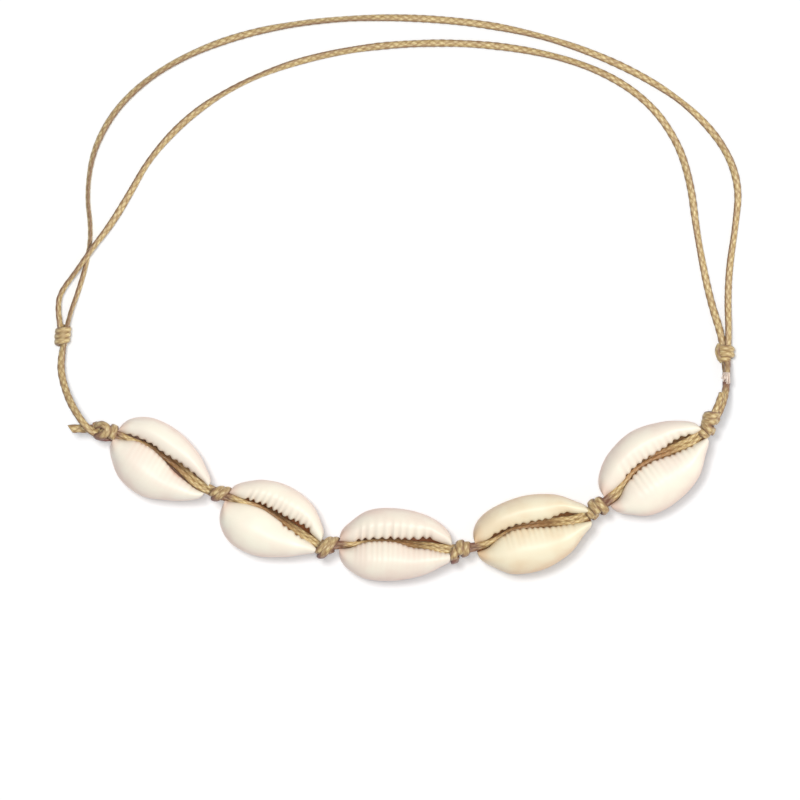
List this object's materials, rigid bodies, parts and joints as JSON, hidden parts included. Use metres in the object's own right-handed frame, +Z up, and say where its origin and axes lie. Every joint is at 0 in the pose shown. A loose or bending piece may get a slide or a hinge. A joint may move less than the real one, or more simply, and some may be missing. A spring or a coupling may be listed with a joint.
{
  "type": "cowrie shell necklace",
  "caption": "Short necklace: cowrie shells knotted in a row on a doubled waxed cord, whose ends close round the neck with sliding knots. Lies flat, shell openings up.",
  "frame": {"origin": "on the surface that the necklace lies on, below the middle of the row of shells", "axes": "+X along the row of shells, +Y from the row across the loop to the back of the neck, +Z up, out of the shells' openings"},
  "size_m": [0.1376, 0.1135, 0.0116],
  "materials": {
    "shell": "porcelain-like gloss of a polished shell",
    "cord": "waxed braided cotton, satin"
  },
  "bodies": {
    "root": {"shell_1": "shell", "shell_2": "shell", "shell_3": "shell", "shell_4": "shell", "shell_5": "shell", "row_strand_1a": "cord", "row_strand_1b": "cord", "row_strand_2a": "cord", "row_strand_2b": "cord", "row_strand_3a": "cord", "row_strand_3b": "cord", "row_strand_4a": "cord", "row_strand_4b": "cord", "row_strand_5a": "cord", "row_strand_5b": "cord", "row_knot_1": "cord", "row_knot_2": "cord", "row_knot_3": "cord", "row_knot_4": "cord", "end_knot_left": "cord", "end_knot_right": "cord", "row_tail_left": "cord", "row_tail_right": "cord", "slide_tail_right": "cord", "neck_cord_left": "cord", "neck_cord_right": "cord", "slide_knot_left": "cord", "slide_knot_right": "cord"}
  },
  "joints": []
}
